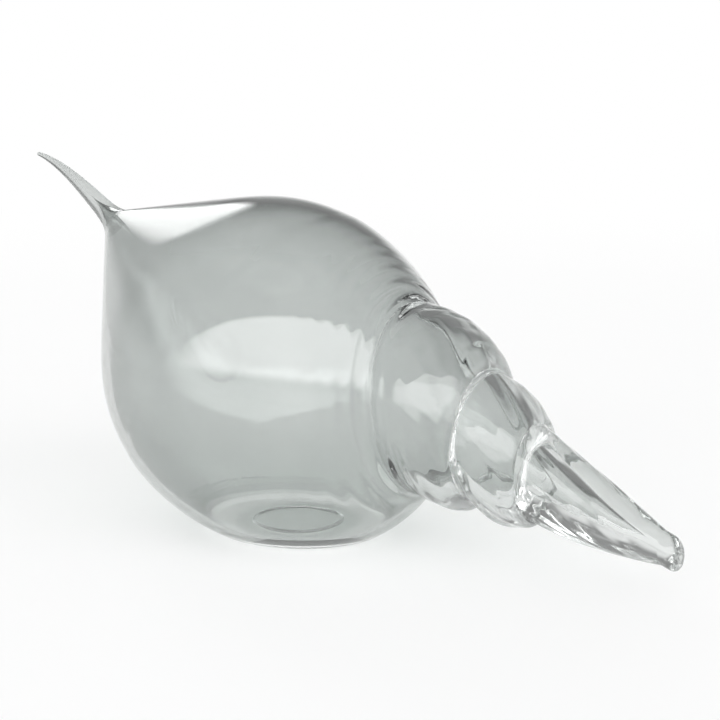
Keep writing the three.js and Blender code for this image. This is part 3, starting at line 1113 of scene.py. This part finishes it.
def make_glass(finish, deep, pale, closeness):
    graph = Graph(glass_finish[finish])
    place = graph.node("ShaderNodeTexCoord").outputs["Object"]
    drawn_out = graph.node("ShaderNodeMapping", None, {"Vector": place, "Scale": closeness}).outputs[0]
    cords = noise(graph, drawn_out, 1, CORD_DETAIL)
    waves = noise(graph, place, WAVE_SCALE, WAVE_DETAIL)
    tint = glass_tint(graph, cords, deep, pale)
    # the base gets its painted highlight ring
    if finish == "pressed_base_glass":
        tint = tint_with_painted_ring(graph, place, tint)
    bump = graph.node("ShaderNodeBump", None, {
        "Height": cords * CORD_BUMP + waves,
        "Strength": BUMP_STRENGTH,
        "Distance": MILLIMETRE,
    })
    shader = graph.node("ShaderNodeBsdfPrincipled", None, {
        "Base Color": tint,
        "Roughness": POLISH + cords * CORD_ROUGHNESS,
        "IOR": GLASS_BENDING,
        "Transmission Weight": 1,
        "Normal": bump.outputs[0],
    })
    lets_lamps_through = graph.node("ShaderNodeBsdfTransparent", None, {"Color": SHADOW_TINT})
    shadow = graph.number("ShaderNodeLightPath", "Is Shadow Ray")
    glass = graph.mix_shaders(shadow, shader, lets_lamps_through)
    graph.node("ShaderNodeOutputMaterial", None, {"Surface": glass.outputs[0]})
    print(finish, "has", len(graph.tree.nodes), "nodes")


for finish, (deep, pale, closeness) in GLASSES.items():
    make_glass(finish, deep, pale, closeness)
joint_graph = Graph(fused_joint)
clear = joint_graph.node("ShaderNodeBsdfTransparent")
joint_graph.node("ShaderNodeOutputMaterial", None, {"Surface": clear.outputs[0]})

# %% [markdown]
# ## Fastening the looks to the frame
# Each piece rides on the only body and stands in for its CAD node.

# %% Ride and replace
for node, piece in glass_pieces.items():
    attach(piece, "root")
    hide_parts(node)
    print(piece.name, "stands in for", node)

# %% [markdown]
# ## Floor
# The shell stands on a wide pale floor that keeps its shadow. A plain floor would end in a grey line at
# the horizon, so with distance it runs out to the white of the background, for the rays that look for
# one.

# %% Model and paint the floor
FLOOR_SIZE = 30
FLOOR_DROP = 0.0003  # keeps the floor clear of the foot
FLOOR_COLOUR = (0.945, 0.945, 0.945, 1)
FLOOR_ROUGHNESS = 0.9
FLOOR_NEAR = 0.5  # distances from the shell between which the floor runs out to the white background
FLOOR_FAR = 1.6

bpy.ops.object.select_all(action="DESELECT")
bpy.ops.mesh.primitive_plane_add(size=FLOOR_SIZE, location=(0, 0, -FLOOR_DROP))
floor = bpy.context.object
floor.name = "studio_floor"
bpy.ops.object.transform_apply(location=True, rotation=True, scale=True)
floor_paint = bpy.data.materials.new("floor_paint")
floor.data.materials.append(floor_paint)
floor_paint.cycles.emission_sampling = "NONE"  # its white is a background to look at, and not a lamp
graph = Graph(floor_paint)
paint = graph.node("ShaderNodeBsdfPrincipled", None, {
    "Base Color": FLOOR_COLOUR,
    "Roughness": FLOOR_ROUGHNESS,
})
white = graph.node("ShaderNodeEmission", None, {"Color": WHITE, "Strength": 1})
place = graph.node("ShaderNodeTexCoord").outputs["Object"]
far = graph.soft_edge(graph.length(place), FLOOR_NEAR, FLOOR_FAR)
by_camera, by_glass = graph.looking_rays()
faded = graph.mix_shaders(far * (by_camera + by_glass), paint, white)
graph.node("ShaderNodeOutputMaterial", None, {"Surface": faded.outputs[0]})
print(floor.name, "runs out between", FLOOR_NEAR, "and", FLOOR_FAR, "m")

# %% [markdown]
# ## Light
# Glass shows its form mostly by what it reflects. The world is a white background, the even light of a
# room, a broad soft window in front and a small panel behind. The window gives the bulb its large
# reflection, and the panel gives the cone its bright upper edge. Area lamps could do the same, but a
# bright part of the world is easier to give a soft edge.

# %% Light the room
WINDOW_SIDE = radians(-45)  # direction of the window, from +X
WINDOW_FOOT = 0.2  # tangents of the heights at which the window starts and ends
WINDOW_HEAD = 1.2
WINDOW_LIGHT = 3.8
ROOM_LIGHT = 0.5
CEILING_LIGHT = 0.3
PANEL_LIGHT = 2.6
PANEL_SIDE = radians(145)  # direction and height of the panel behind the shell
PANEL_HEIGHT = radians(26)
PANEL_FULL = cos(radians(9))  # how far its even middle and its soft edge reach
PANEL_EDGE = cos(radians(15))
FOOT_EDGE = (-0.02, 0.10)  # where the window's foot, head and sides and the ceiling start and are full
HEAD_EDGE = (-0.01, 0.03)
SIDE_EDGE = (0.15, 0.55)
CEILING_EDGE = (0.03, 0.28)

world = bpy.data.worlds.new("studio")
bpy.context.scene.world = world
graph = Graph(world)
facing = graph.node("ShaderNodeTexCoord").outputs["Generated"]
above = graph.number("ShaderNodeSeparateXYZ", "Z", None, {0: facing})
ahead = graph.along(facing, (cos(WINDOW_SIDE), sin(WINDOW_SIDE), 0))
over_foot = graph.soft_edge(above - ahead * WINDOW_FOOT, *FOOT_EDGE)
under_head = graph.soft_edge(ahead * WINDOW_HEAD - above, *HEAD_EDGE)
in_window = over_foot * under_head * graph.soft_edge(ahead, *SIDE_EDGE)
panel_level = cos(PANEL_HEIGHT)
panel = (cos(PANEL_SIDE) * panel_level, sin(PANEL_SIDE) * panel_level, sin(PANEL_HEIGHT))
in_panel = graph.soft_edge(graph.along(facing, panel), PANEL_EDGE, PANEL_FULL)
by_camera, by_glass = graph.looking_rays()
backdrop_light = 1 - graph.soft_edge(above, *CEILING_EDGE) * (1 - CEILING_LIGHT)
light = ROOM_LIGHT + by_glass * (backdrop_light - ROOM_LIGHT)
light = light + in_window * (WINDOW_LIGHT - light)
light = light + in_panel * (PANEL_LIGHT - light)
lit = graph.node("ShaderNodeBackground", None, {"Color": WHITE, "Strength": light})
backdrop = graph.node("ShaderNodeBackground", None, {"Color": WHITE, "Strength": 1})
both = graph.mix_shaders(by_camera, lit, backdrop)
graph.node("ShaderNodeOutputWorld", None, {"Surface": both.outputs[0]})
print(world.name, "has", len(graph.tree.nodes), "nodes")

# %% [markdown]
# ## Camera
# A long lens from a little above the table keeps the shell's proportions. The place of the camera was
# found by fitting the outline of the CAD model to the picture.

# %% Place the camera
EYE = Vector((0.4188, -0.6190, 0.2209))
TARGET = Vector((0.01856, 0, 0.08269))
LENS = 83.35
SENSOR_WIDTH = 36
NEAREST = 0.01

camera_data = bpy.data.cameras.new("camera")
camera_data.lens = LENS
camera_data.sensor_width = SENSOR_WIDTH
camera_data.clip_start = NEAREST
camera = bpy.data.objects.new("camera", camera_data)
bpy.context.scene.collection.objects.link(camera)
camera.location = EYE
camera.rotation_euler = (TARGET - EYE).to_track_quat("-Z", "Y").to_euler()
bpy.context.scene.camera = camera
print("camera", round((TARGET - EYE).length, 3), "m from its target")

# %% [markdown]
# ## View and light paths
# Light that is caught in a glass wall turns round many times before it leaves, and the joints count as
# clear surfaces on its way. Paths that are cut off too soon would show as black lines, so they may be
# long.

# %% Set the view and the light paths
LIGHT_BOUNCES = 64
CLEAR_BOUNCES = 32

scene = bpy.context.scene
scene.view_settings.view_transform = "Standard"
scene.cycles.max_bounces = LIGHT_BOUNCES
scene.cycles.transmission_bounces = LIGHT_BOUNCES
scene.cycles.glossy_bounces = LIGHT_BOUNCES
scene.cycles.transparent_max_bounces = CLEAR_BOUNCES
print("light bounces up to", LIGHT_BOUNCES, "times")
